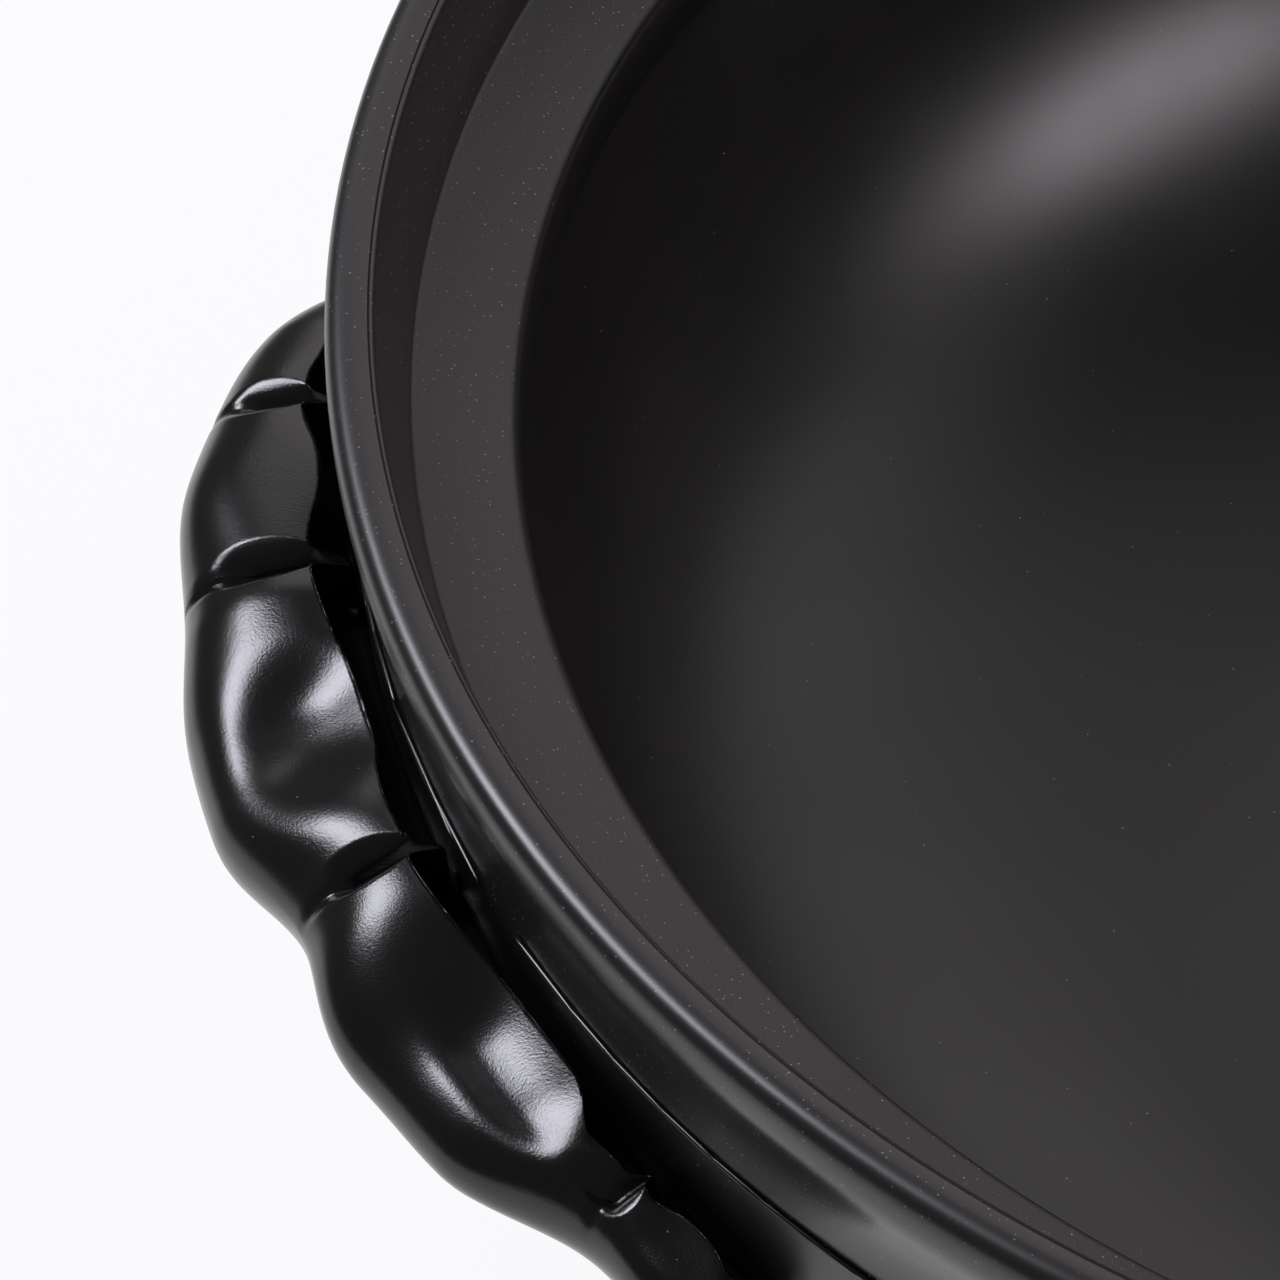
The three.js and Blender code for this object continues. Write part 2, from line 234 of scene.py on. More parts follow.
def new_tree(name, **sockets):
    """A Geometry Nodes tree with named inputs, its helper and its input sockets."""
    tree = bpy.data.node_groups.new(name, "GeometryNodeTree")
    for socket, kind in sockets.items():
        tree.interface.new_socket(socket, in_out="INPUT", socket_type="NodeSocket" + kind)
    tree.interface.new_socket("Piece", in_out="OUTPUT", socket_type="NodeSocketGeometry")
    nodes = Nodes(tree)
    return tree, nodes, nodes.add("NodeGroupInput").outputs


def end_tree(nodes, geometry, glaze):
    """Every tree ends alike: smooth faces, real geometry, and its glaze."""
    smooth = nodes.add("GeometryNodeSetShadeSmooth", {"Geometry": geometry})
    real = nodes.add("GeometryNodeRealizeInstances", {"Geometry": smooth.outputs["Geometry"]})
    glazed = nodes.add("GeometryNodeSetMaterial", {"Geometry": real.outputs["Geometry"], "Material": glaze})
    nodes.add("NodeGroupOutput", {"Piece": glazed.outputs["Geometry"]})


def turning_tree():
    """Sweeps an outline, drawn with X as radius and Y as height, round the Z axis."""
    tree, nodes, given = new_tree("turned_on_a_wheel", Outline="Geometry", Segments="Int", Glaze="Material")
    wheel = nodes.add("GeometryNodeCurvePrimitiveCircle", {"Resolution": given["Segments"], "Radius": 1.0})
    upright = nodes.add("GeometryNodeSetCurveNormal", {"Curve": wheel.outputs["Curve"]}, mode="Z_UP")
    to_rim = {"Geometry": given["Outline"], "Translation": (-1.0, 0.0, 0.0), "Scale": (1.0, -1.0, 1.0)}
    outline = nodes.add("GeometryNodeTransform", to_rim)
    swept = {"Curve": upright.outputs["Curve"], "Profile Curve": outline.outputs["Geometry"]}
    sweep = nodes.add("GeometryNodeCurveToMesh", swept)
    weld = nodes.add("GeometryNodeMergeByDistance", {"Geometry": sweep.outputs["Mesh"], "Distance": 0.001 * MM})
    end_tree(nodes, weld.outputs["Geometry"], given["Glaze"])
    return tree


TURNING = turning_tree()
print("turning tree:", len(TURNING.nodes), "nodes")

# %% [markdown]
# A tree runs on an object, so a curve carries the outline in. The swept shape comes back as a plain mesh, which the
# frame can move, and the curve is thrown away. A closed mesh has a signed volume: where that is negative, the faces
# point inwards and are turned round.

# %% Turn an outline into a piece


def add_object(name, data):
    """An object at the origin for a mesh or a curve."""
    obj = bpy.data.objects.new(name, data)
    scene.collection.objects.link(obj)
    return obj


def face_out(mesh):
    """Turns a closed mesh's faces so that they point out."""
    shape = bmesh.new()
    shape.from_mesh(mesh)
    if shape.calc_volume(signed=True) < 0:
        bmesh.ops.reverse_faces(shape, faces=shape.faces)
    shape.to_mesh(mesh)
    shape.free()


def grown(name, source, tree, **inputs):
    """Runs a tree on a source object and keeps the result as a plain mesh."""
    modifier = source.modifiers.new("tree", "NODES")
    modifier.node_group = tree
    named = {s.name: s.identifier for s in tree.interface.items_tree if s.in_out == "INPUT"}
    for socket, value in inputs.items():
        modifier[named[socket]] = value
    mesh = bpy.data.meshes.new_from_object(source.evaluated_get(bpy.context.evaluated_depsgraph_get()))
    bpy.data.objects.remove(source)
    mesh.name = name
    return mesh


def turned(name, outline, segments, glaze, centre=(0, 0, 0), closed=False):
    """A turned piece as a plain mesh, with its place in the mesh."""
    curve = bpy.data.curves.new(name + "_outline", "CURVE")
    spline = curve.splines.new("POLY")
    spline.use_cyclic_u = closed
    spline.points.add(len(outline) - 1)
    for knot, (r, z) in zip(spline.points, outline):
        knot.co = (r, z, 0, 1)
    mesh = grown(name, add_object(name + "_outline", curve), TURNING, Segments=segments, Glaze=glaze)
    mesh.transform(Matrix.Translation(centre))
    face_out(mesh)
    print(name, "turned:", len(mesh.polygons), "faces")
    return add_object(name, mesh)


# %% [markdown]
# An outline is drawn in runs: straight lines, bends and Bezier curves of radius and height. These helpers make the
# runs and join them.

# %% Make helpers for outlines


def bezier(*corners, steps=8):
    """Points of a Bezier curve of any order through its first and last corner."""
    t = np.linspace(0, 1, steps + 1)[:, None]
    rows = [np.array(c, float) * np.ones_like(t) for c in corners]
    while len(rows) > 1:
        rows = [a * (1 - t) + b * t for a, b in zip(rows, rows[1:])]
    return rows[0]


def rounded(corner, before, after, radius, steps=6):
    """A corner rounded off: a bend that starts and ends at a distance of radius from it."""
    corner, before, after = (np.array(p, float) for p in (corner, before, after))
    start = corner + (before - corner) / np.linalg.norm(before - corner) * radius
    end = corner + (after - corner) / np.linalg.norm(after - corner) * radius
    return bezier(start, corner, end, steps=steps)


def joined(*runs):
    """Runs of points as one outline, without the doubled points where two runs meet."""
    points = np.vstack([np.atleast_2d(np.array(run, float)) for run in runs])
    keep = np.r_[True, np.linalg.norm(np.diff(points, axis=0), axis=1) > 0.005 * MM]
    return points[keep]


def offset(points, thickness):
    """An open run of points, moved to its left."""
    along = np.gradient(points, axis=0)
    along /= np.linalg.norm(along, axis=1)[:, None]
    return points + thickness * np.column_stack([-along[:, 1], along[:, 0]])


def ramp(value, low, high):
    """0 before low, 1 after high, and an even S-shaped rise between them."""
    t = np.clip((value - low) / (high - low), 0, 1)
    return t ** 3 * (10 - 15 * t + 6 * t * t)


print("a ramp in five steps:", np.round(ramp(np.linspace(0, 1, 5), 0, 1), 2))


# %% [markdown]
# The bowl's outline runs from the middle of the foot out and up the belly, over the lip, down to the ledge and back
# down the inside. Its sizes are those of the CAD bowl, in finer steps, and each corner gets the small round that a
# glazed edge has. The lip's top is crowned: it leans in a little towards the ledge and rolls over outside.

# %% Draw the bowl's outline
MOUTH_RADIUS = 112 * MM
LEDGE_HEIGHT = 69 * MM
LEDGE_WIDTH = 8.5 * MM
LEDGE_RISE = 2.6 * MM
LEDGE_DEPTH = 6 * MM
UNDERCUT_DROP = 6 * MM
MOUTH_ROUND = 1.2 * MM
LIP_LEAN = 2.7 * MM
LIP_ROUND = 1.9 * MM
LIP_CROWN = 0.25 * MM
LIP_EDGE_ROUND = 0.5 * MM
LIP_OVERHANG = 2 * MM
LIP_FILLET = 6 * MM
CROWN_LEAD = 0.6 * MM
LEDGE_CORNER_ROUND = 0.4 * MM
WALL_THICKNESS = 9 * MM
FOOT_RADIUS = 60 * MM
FOOT_HEIGHT = 4 * MM
FOOT_ROUND = 1.5 * MM
FOOT_FILLET = 1 * MM
BELLY_FULLNESS = 0.6
BELLY_TURN = 0.35
HANDLE_DROP = 14.2 * MM

RIM_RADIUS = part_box("bowl")[1][0]
RIM_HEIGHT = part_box("bowl")[1][2]
LEDGE_OUTER = MOUTH_RADIUS + LEDGE_WIDTH
LIP_INNER = LEDGE_OUTER + LIP_LEAN
NECK_RADIUS = RIM_RADIUS - LIP_OVERHANG
HANDLE_TOP = RIM_HEIGHT - HANDLE_DROP

BELLY = bezier(
    (FOOT_RADIUS, FOOT_HEIGHT),
    (FOOT_RADIUS + BELLY_FULLNESS * (NECK_RADIUS - FOOT_RADIUS), FOOT_HEIGHT),
    (NECK_RADIUS, FOOT_HEIGHT + BELLY_TURN * (HANDLE_TOP - FOOT_HEIGHT)),
    (NECK_RADIUS, HANDLE_TOP),
    steps=48,
)


def wall_radius(height):
    """Radius of the belly outside, at a height."""
    return np.interp(height, BELLY[:, 1], BELLY[:, 0])


def bowl_outline():
    """From the middle of the foot up the outside, over the lip and down the inside to the floor's middle."""
    foot = joined(
        (0, 0),
        rounded((FOOT_RADIUS, 0), (0, 0), (FOOT_RADIUS, FOOT_HEIGHT), FOOT_ROUND),
        rounded((FOOT_RADIUS, FOOT_HEIGHT), (FOOT_RADIUS, 0), (RIM_RADIUS, FOOT_HEIGHT), FOOT_FILLET),
    )
    fillet = RIM_HEIGHT - LIP_FILLET
    lip_side = (RIM_RADIUS, RIM_HEIGHT - LIP_ROUND)
    neck = bezier((NECK_RADIUS, HANDLE_TOP), (NECK_RADIUS, fillet), (RIM_RADIUS, fillet), lip_side, steps=24)
    lip_edge = (LIP_INNER, RIM_HEIGHT - LIP_CROWN)
    crown = (RIM_RADIUS - LIP_ROUND, RIM_HEIGHT)
    ledge_corner = (LEDGE_OUTER, LEDGE_HEIGHT + LEDGE_RISE)
    mouth = (MOUTH_RADIUS, LEDGE_HEIGHT)
    nose_foot = (MOUTH_RADIUS, LEDGE_HEIGHT - LEDGE_DEPTH)
    lip = joined(
        rounded((RIM_RADIUS, RIM_HEIGHT), (RIM_RADIUS, 0), (0, RIM_HEIGHT), LIP_ROUND, 14),
        bezier(crown, (crown[0] - CROWN_LEAD, RIM_HEIGHT), lip_edge, steps=8)[:-1],
        rounded(lip_edge, crown, ledge_corner, LIP_EDGE_ROUND),
        rounded(ledge_corner, lip_edge, mouth, LEDGE_CORNER_ROUND),
        rounded(mouth, ledge_corner, nose_foot, MOUTH_ROUND, 8),
    )
    inside = offset(BELLY, WALL_THICKNESS)
    inside = inside[inside[:, 1] < nose_foot[1] - UNDERCUT_DROP][::-1]
    under = bezier(nose_foot, (inside[0, 0], nose_foot[1] - UNDERCUT_DROP / 3), inside[0], steps=10)
    return joined(foot, BELLY[1:], neck, lip, under, inside, (0, FOOT_HEIGHT + WALL_THICKNESS))


BOWL_SEGMENTS = 288
bowl = turned("pot_bowl", bowl_outline(), BOWL_SEGMENTS, BOWL_GLAZE)

# %% [markdown]
# Where the glaze differs is painted on the mesh as numbers on its points. A brush in Weight Paint could do it by
# hand. Here radius and height decide: the ledge is matte, the ledge and the lip are dusty, the outside below the
# lip is glossy, and the foot is bare.

# %% Paint the bowl's glaze
RUB_FADE = (0.2 * MM, -0.3 * MM)
RUB_MARGIN = 1 * MM
WIPE_FADE = 0.5 * MM


def places(mesh):
    """A mesh's points as an array of rows."""
    points = np.empty(len(mesh.vertices) * 3)
    mesh.vertices.foreach_get("co", points)
    return points.reshape(-1, 3)


def paint(mesh, name, values):
    """Stores a number on each point of a mesh for the glaze to read."""
    mesh.attributes.new(name, "FLOAT", "POINT").data.foreach_set("value", np.asarray(values, np.float32))


points = places(bowl.data)
radius, height = np.hypot(points[:, 0], points[:, 1]), points[:, 2]
from_mouth = ramp(radius, MOUTH_RADIUS, MOUTH_RADIUS + MOUTH_ROUND)
to_lip = ramp(radius, LEDGE_OUTER + RUB_FADE[0], LEDGE_OUTER + RUB_FADE[1])
above_nose = (height > LEDGE_HEIGHT - LEDGE_DEPTH) * (height < LEDGE_HEIGHT + LEDGE_RISE + RUB_MARGIN)
rubbed = from_mouth * to_lip * above_nose
paint(bowl.data, "matte", rubbed)
paint(bowl.data, "bare", ramp(height, FOOT_HEIGHT, FOOT_HEIGHT - WIPE_FADE))
paint(bowl.data, "dusty", from_mouth * ramp(height, LEDGE_HEIGHT - LEDGE_DEPTH, LEDGE_HEIGHT))
skin = np.where(height < HANDLE_TOP, wall_radius(height), NECK_RADIUS)
below_lip = ramp(height, RIM_HEIGHT - LIP_ROUND, RIM_HEIGHT - 2 * LIP_ROUND)
paint(bowl.data, "glossy", (radius > skin - WALL_THICKNESS / 2) * below_lip)
print("bowl painted:", int((rubbed > 0.5).sum()), "points on the ledge")

# %% [markdown]
# A handle is a bar of clay stuck to the wall and pinched between finger and thumb. The thumb presses a hollow into
# each petal and squeezes up a sharp edge beside the wall, and a knife presses a crease between two petals. Sculpting
# would give one such handle. Here an upright slice through the bar is a function of the place along it, so both
# handles follow the same rule in fine steps, and every size has a name.

# %% Lay out the petals
PETALS = np.array([16.0, 18.5, 32.0, 33.0, 13.5]) * MM
DENTS = np.array([0.3, 0.9, 3.0, 4.2]) * MM
DENT_HALF = 12 * MM
HANDLE_REACH = 15.2 * MM
FRONT_REACH = 13.2 * MM
FRONT_DELAY = 1 * MM
FRONT_RUN = 18 * MM
END_FULLNESS = 2.5
END_SHARE = 0.995

HALF_LENGTH = PETALS.sum() / 2
PETAL_EDGES = np.concatenate([[0], np.cumsum(PETALS)]) - HALF_LENGTH
CREASES = PETAL_EDGES[1:-1]


def petal_at(along):
    """Which petal a place lies on, and how far across it, from 0 to 1."""
    i = int(np.clip(np.searchsorted(PETAL_EDGES, along, side="right") - 1, 0, len(PETALS) - 1))
    return i, (along - PETAL_EDGES[i]) / PETALS[i]


def front_share(along):
    """0 up to the third crease, and 1 on the front petals, which are pressed down and back."""
    return ramp(along, CREASES[2] + FRONT_DELAY, CREASES[2] + FRONT_RUN)


def reach_at(along):
    """How far the handle stands out from the neck, and that as a share of its reach in the middle."""
    span = (1 - abs(along / HALF_LENGTH) ** END_FULLNESS) ** (1 / END_FULLNESS)
    dents = DENTS * np.cos(np.clip((along - CREASES) / DENT_HALF, -1, 1) * math.pi / 2) ** 2
    reach = HANDLE_REACH + (FRONT_REACH - HANDLE_REACH) * front_share(along)
    return (reach - dents.sum()) * span, span


print("petals:", np.round(PETALS / MM, 1), "mm, creases at", np.round(CREASES / MM, 1), "mm")

# %% [markdown]
# Each petal has a hollow that the thumb pressed, and each crease is a narrow lens that the knife left, steeper on its
# near side. Both are depths under the petal's top, so they can be added up, and every petal gets numbers of its own,
# as no two presses of a thumb are alike.

# %% Press the creases and hollows
CREASE_DEPTH = 1.7 * MM
FAR_SLOPES = np.array([2.4, 2.4, 2.4, 4.5]) * MM
NEAR_SLOPE = 2.0 * MM
CREASE_BOW = 1.4
CREASE_TIPS = (0.88, 0.5)
TIP_WIDTH = 0.45
LENS_SKEW = 0.8
NARROWEST = 0.1 * MM
PRESS_DEPTHS = np.array([0.3, 0.3, 1.4, 0.8, 0.8]) * MM
PRESS_STARTS = (0.5, 0.5, 0.5, 0.55, 0.5)
PRESS_ENDS = (0.5, 0.5, 0.5, 0.68, 0.5)
HOLLOW_STARTS = (0, 0, 0.2, 0.3, 0)
PETAL_RIMS = (1, 1, 0.92, 0.92, 1)
HOLLOW_MIDDLES = (0.42, 0.42, 0.40, 0.38, 0.42)
HOLLOW_DRIFTS = (0, 0, 0.5, 0.2, 0)
HOLLOW_HALVES = (0.56, 0.56, 0.56, 0.36, 0.56)


def crease_depth(along, outward):
    """Depth of the creases at a place along the handle, for places from 0 at its inner edge to 1 at its nose."""
    nearest = np.abs(along - CREASES).argmin()
    away = along - CREASES[nearest]
    lens = ramp(outward, *CREASE_TIPS)
    slope = FAR_SLOPES[nearest] if away < 0 else NEAR_SLOPE
    width = slope * (TIP_WIDTH + (1 - TIP_WIDTH) * np.sin(np.pi * outward ** LENS_SKEW))
    return CREASE_DEPTH * lens * np.clip(1 - abs(away) / np.maximum(width, NARROWEST), 0, 1) ** CREASE_BOW


def press_at(petal, across, start=0.0):
    """How deep the thumb goes at a place along a petal, as a share of its deepest."""
    return ramp(across, start, PRESS_STARTS[petal]) * ramp(across, PETAL_RIMS[petal], PRESS_ENDS[petal])


def hollow_depth(petal, across, outward):
    """Depth of the thumb's hollow at a place along a petal, for places from its inner edge to its nose."""
    middle = HOLLOW_MIDDLES[petal] + HOLLOW_DRIFTS[petal] * (across - 0.5)
    inner_slope = np.sin(math.pi / 2 * outward / middle)
    outer_slope = np.cos(np.clip((outward - middle) / HOLLOW_HALVES[petal], 0, 1) * math.pi / 2) ** 2
    hollow = np.where(outward < middle, inner_slope, outer_slope)
    return hollow * (PRESS_DEPTHS[petal] * press_at(petal, across, HOLLOW_STARTS[petal]))


print("hollows:", np.round(PRESS_DEPTHS / MM, 1), "mm deep, creases:", round(CREASE_DEPTH / MM, 1), "mm deep")

# %% [markdown]
# A slice is drawn in a plane through the pot's axis: the underside, the round nose, the top from outside in, the
# groove behind the inner edge, and the wall that the handle is stuck to. The front petals sag and get thinner.

# %% Shape one slice of a handle
NOSE_DROP = 6.6 * MM
CREASE_SQUARES = (2.2, 2.3, 2.2, 1.7, 2.2, 2.2)
RIM_SQUARES = (2.3, 2.5, 2.3, 2.4, 2.3)
FRONT_SAG = 3.8 * MM
FRONT_THINNING = 0.2
END_THICKNESS = 0.4
NOSE_DEPTH = 5.5 * MM
NOSE_UNDER = 6 * MM
END_FALL = 4 * MM
ROOT_DROP = 5 * MM
EDGE_OFFSETS = np.array([3.6, 1.8]) * MM
EDGE_WAVES = np.array([0.7, 0.7, 0.7, 1.2, 0.7]) * MM
EDGE_LIFTS = np.array([0, 0, 0, 1.2, 0]) * MM
EDGE_DIP = 0.5 * MM
WEB_OFFSET = 0.4 * MM
WEB_HALF = 0.6 * MM
GROOVE_DEPTH = 6 * MM
PETAL_SAGS = np.array([0.2, 0.2, 1.5, 0.5, 0.4]) * MM
BACK_FALLS = np.array([0, 0, 0.35, 0, 0]) * MM
BACK_RUN = 4.5 * MM
TOP_STEPS = 56
GROOVE_STEPS = 10
ROOT_SINK = 0.2 * MM
EDGE_ROUND = 0.35 * MM
EDGE_STEPS = 4
LIFT_FADE = 3
TOP_BUNCHING = 1.6
NOSE_TURN = 85
NOSE_STEPS = 12
GROOVE_LEAN = 0.2 * MM
GROOVE_BEND = 0.5 * MM
WALL_STEPS = 8


def handle_slice(along):
    """Points of reach from the neck and height: underside, nose, top from outside in, groove and wall."""
    reach, span = reach_at(along)
    front = front_share(along)
    petal, across = petal_at(along)
    pressed = press_at(petal, across)
    web = math.exp(-(np.abs(along - CREASES).min() / WEB_HALF) ** 2)
    edge = np.interp(along, (-HALF_LENGTH, HALF_LENGTH), EDGE_OFFSETS) + EDGE_WAVES[petal] * (1 - 2 * pressed)
    edge = min(edge, reach / 3)
    edge += (WEB_OFFSET - edge) * web
    edge_height = HANDLE_TOP - EDGE_DIP * (1 - pressed) - END_FALL * (along / HALF_LENGTH) ** 4 - FRONT_SAG * front
    thickness = (END_THICKNESS + (1 - END_THICKNESS) * span) * (1 - FRONT_THINNING * front)
    drop = NOSE_DROP * thickness
    square = np.interp(along, PETAL_EDGES, CREASE_SQUARES)
    square += (RIM_SQUARES[petal] - square) * math.sin(math.pi * across) ** 2

    # The top is a quarter of a superellipse, with a squarer rim than a round one would have.
    turn = math.pi / 2 * (1 - (1 - np.linspace(0, 1, TOP_STEPS)) ** TOP_BUNCHING)
    outward = np.cos(turn) ** (2 / square)
    outward[-1] = 0
    rise = np.sin(turn) ** (2 / square)
    fall = BACK_FALLS[petal] * ramp(across * PETALS[petal], BACK_RUN, 0)
    lift = EDGE_LIFTS[petal] * pressed * (1 - outward) ** LIFT_FADE
    dip = PETAL_SAGS[petal] * pressed + hollow_depth(petal, across, outward) + fall - lift
    dip += crease_depth(along, outward)
    top = np.column_stack([edge + (reach - edge) * outward, edge_height - drop * (1 - rise) - span * dip])

    widest = top[0, 1]
    under = NOSE_UNDER * thickness
    depth = min(NOSE_DEPTH, reach / 2)
    below = np.radians(np.linspace(-NOSE_TURN, 0, NOSE_STEPS))[:-1]
    nose = np.column_stack([reach - depth + depth * np.cos(below), widest + under * np.sin(below)])
    root = widest - under - ROOT_DROP * span
    start = (wall_radius(root) - NECK_RADIUS - ROOT_SINK, root)
    underside = bezier(start, (nose[0, 0] - reach / 4, widest - under), nose[0], steps=10)
    foot = (-ROOT_SINK, edge_height - GROOVE_DEPTH * thickness)
    groove = bezier(top[-1], (edge - GROOVE_LEAN, foot[1] + GROOVE_BEND), foot, steps=GROOVE_STEPS)
    down = np.linspace(foot[1], root, WALL_STEPS)[1:-1]
    wall = np.column_stack([wall_radius(down) - NECK_RADIUS - ROOT_SINK, down])
    corner = rounded(top[-1], top[-3], groove[2], EDGE_ROUND, EDGE_STEPS)
    return np.vstack([underside, nose[1:], top[:-2], corner, groove[2:], wall])


print("a slice has", len(handle_slice(0.0)), "points")

# %% [markdown]
# The slices are strung along the neck and skinned with four-sided faces, as a loft would do. They lie closer together
# across the creases, which stay sharp that way. Last, each point moves a little along its normal: a slow wobble from
# the hand, and a fine burr on the inner edge.

# %% Skin the slices
SLICE_STEP = 0.45 * MM
CREASE_STEP = 0.15 * MM
HAND_WOBBLE = 0.12 * MM
WOBBLE_SIZE = 11 * MM
BURR = 0.10 * MM
BURR_SIZE = 0.9 * MM
THIN_REACH = 4


def slice_places():
    """Places of the slices along the neck: evenly spread, and closer together across each crease."""
    end = HALF_LENGTH * END_SHARE
    even = np.linspace(-end, end, round(2 * end / SLICE_STEP))
    close = np.concatenate([c + np.arange(-FAR_SLOPES[0], FAR_SLOPES[0], CREASE_STEP) for c in CREASES])
    return np.unique(np.round(np.concatenate([even, close]), 6))


def handle_mesh(name, middle):
    """Skins the slices of one handle, centred on an angle round the pot, and closes its ends."""
    shape = bmesh.new()
    after_edge = EDGE_STEPS // 2 + 1 + GROOVE_STEPS - 1 + WALL_STEPS - 2
    edge_index = len(handle_slice(0.0)) - after_edge
    rings = []
    for along in slice_places():
        turn = along / NECK_RADIUS + middle
        ray = Vector((math.cos(turn), math.sin(turn), 0))
        ring = [shape.verts.new(ray * (NECK_RADIUS + u) + Vector((0, 0, z))) for u, z in handle_slice(along)]
        rings.append(ring)
    count = len(rings[0])
    for a, b in zip(rings, rings[1:]):
        for j in range(count):
            k = (j + 1) % count
            shape.faces.new((a[j], b[j], b[k], a[k]))
    shape.faces.new(rings[0][::-1])
    shape.faces.new(rings[-1])
    for face in shape.faces:
        face.smooth = True
    shape.normal_update()
    thin = []
    for ring in rings:
        for j, vert in enumerate(ring):
            thin.append(max(0.0, 1 - abs(j - edge_index) / THIN_REACH))
            wobble = HAND_WOBBLE * noise.noise(vert.co / WOBBLE_SIZE)
            burr = BURR * thin[-1] * noise.noise(vert.co / BURR_SIZE)
            vert.co += vert.normal * (wobble + burr)
    mesh = bpy.data.meshes.new(name)
    shape.to_mesh(mesh)
    shape.free()
    mesh.materials.append(HANDLE_GLAZE)
    face_out(mesh)
    paint(mesh, "thin", thin)
    print(name, "skinned:", len(mesh.polygons), "faces from", len(rings), "slices")
    return mesh


left_handle = add_object("pinched_handle_left", handle_mesh("pinched_handle_left", math.pi))
right_handle = add_object("pinched_handle_right", handle_mesh("pinched_handle_right", 0.0))

# %% [markdown]
# The slip that glues a handle on squeezes out in a thin broken bead along the wall, just above the groove. It is a
# row of stretched drops on an arc: Geometry Nodes scatters them along the path, each with its own length, and leaves
# some out.

# %% Run the bead of slip
SEAM_HEIGHT = HANDLE_TOP + 0.5 * MM
SEAM_REACH = 0.2 * MM
SEAM_WIDTH = 0.45 * MM
SEAM_THICKNESS = 0.45 * MM
SEAM_SPAN = (-0.8, 1.15)
SEAM_POINTS = 80
SEAM_DROPS = 19
SHORTEST_DROP = 9 * MM
LONGEST_DROP = 17 * MM
DROP_SHARE = 0.75
SEAM_SEED = 4


def seam_tree():
    """Drops of slip along an arc round the Z axis."""
    tree, nodes, given = new_tree(
        "bead_of_slip", Path="Geometry", Drops="Int", Shortest="Float", Longest="Float", Width="Float",
        Thickness="Float", Share="Float", Seed="Int", Glaze="Material",
    )
    points = nodes.add("GeometryNodeCurveToPoints", {"Curve": given["Path"], "Count": given["Drops"]}, mode="COUNT")
    facing = {"Vector": points.outputs["Tangent"]}
    turn = nodes.add("FunctionNodeAlignRotationToVector", facing, axis="X")
    length = nodes.add("FunctionNodeRandomValue", {"Seed": given["Seed"]}, data_type="FLOAT")
    nodes.plug(length.inputs[2], given["Shortest"])
    nodes.plug(length.inputs[3], given["Longest"])
    size = {"X": length.outputs[1], "Y": given["Width"], "Z": given["Thickness"]}
    scale = nodes.add("ShaderNodeCombineXYZ", size)
    kept = nodes.add("FunctionNodeRandomValue", {"Seed": given["Seed"]}, data_type="BOOLEAN")
    nodes.plug(kept.inputs["Probability"], given["Share"])
    drop = nodes.add("GeometryNodeMeshUVSphere", {"Segments": 10, "Rings": 8, "Radius": 0.5})
    scattered = {
        "Points": points.outputs["Points"], "Selection": kept.outputs[3], "Instance": drop.outputs["Mesh"],
        "Rotation": turn.outputs["Rotation"], "Scale": scale.outputs["Vector"],
    }
    drops = nodes.add("GeometryNodeInstanceOnPoints", scattered)
    end_tree(nodes, drops.outputs["Instances"], given["Glaze"])
    return tree


SEAM = seam_tree()


def slip_seam(name, middle):
    """The bead along one handle, on an arc of the wall round an angle."""
    curve = bpy.data.curves.new(name + "_path", "CURVE")
    curve.dimensions = "3D"
    spline = curve.splines.new("POLY")
    turns = np.linspace(*SEAM_SPAN, SEAM_POINTS) * HALF_LENGTH / NECK_RADIUS + middle
    spline.points.add(len(turns) - 1)
    r = NECK_RADIUS + SEAM_REACH
    for knot, turn in zip(spline.points, turns):
        knot.co = (r * math.cos(turn), r * math.sin(turn), SEAM_HEIGHT, 1)
    mesh = grown(
        name, add_object(name + "_path", curve), SEAM, Drops=SEAM_DROPS, Shortest=SHORTEST_DROP,
        Longest=LONGEST_DROP, Width=SEAM_WIDTH, Thickness=SEAM_THICKNESS, Share=DROP_SHARE, Seed=SEAM_SEED,
        Glaze=SLIP_GLAZE,
    )
    print(name, "laid:", len(mesh.polygons), "faces")
    return add_object(name, mesh)


left_seam = slip_seam("slip_seam_left", math.pi)
right_seam = slip_seam("slip_seam_right", 0.0)

# %% [markdown]
# The lid is turned like the bowl: a dome with a flat rim that sits on the ledge, and a ring knob stuck to its crown.
# Its radius, its height and the knob's come from the CAD boxes, so the dressed lid fits the ledge as the solid does.

# %% Turn the lid and its knob
LID_THICKNESS = 7 * MM
LID_EDGE_HEIGHT = 6 * MM
LID_EDGE_ROUND = 1.2 * MM
LID_INNER_ROUND = 0.4 * MM
LID_FOOT_WIDTH = 4 * MM
DOME_SHOULDER = (0.5, 0.72)
LID_SEGMENTS = 240
CROWN_MARGIN = 8 * MM
KNOB_PINCH = 5 * MM
KNOB_WALL = 6 * MM
KNOB_ROUND = 2 * MM
KNOB_SEGMENTS = 144

lid_low, lid_high = (np.array(corner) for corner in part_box("lid"))
knob_low, knob_high = (np.array(corner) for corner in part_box("lid_knob"))
LID_CENTRE = ((lid_low[0] + lid_high[0]) / 2, 0, 0)
LID_RADIUS = (lid_high[0] - lid_low[0]) / 2
LID_RISE = lid_high[2]
KNOB_RADIUS = (knob_high[0] - knob_low[0]) / 2
KNOB_FOOT = KNOB_RADIUS - KNOB_WALL / 3
CROWN_RADIUS = KNOB_FOOT + CROWN_MARGIN


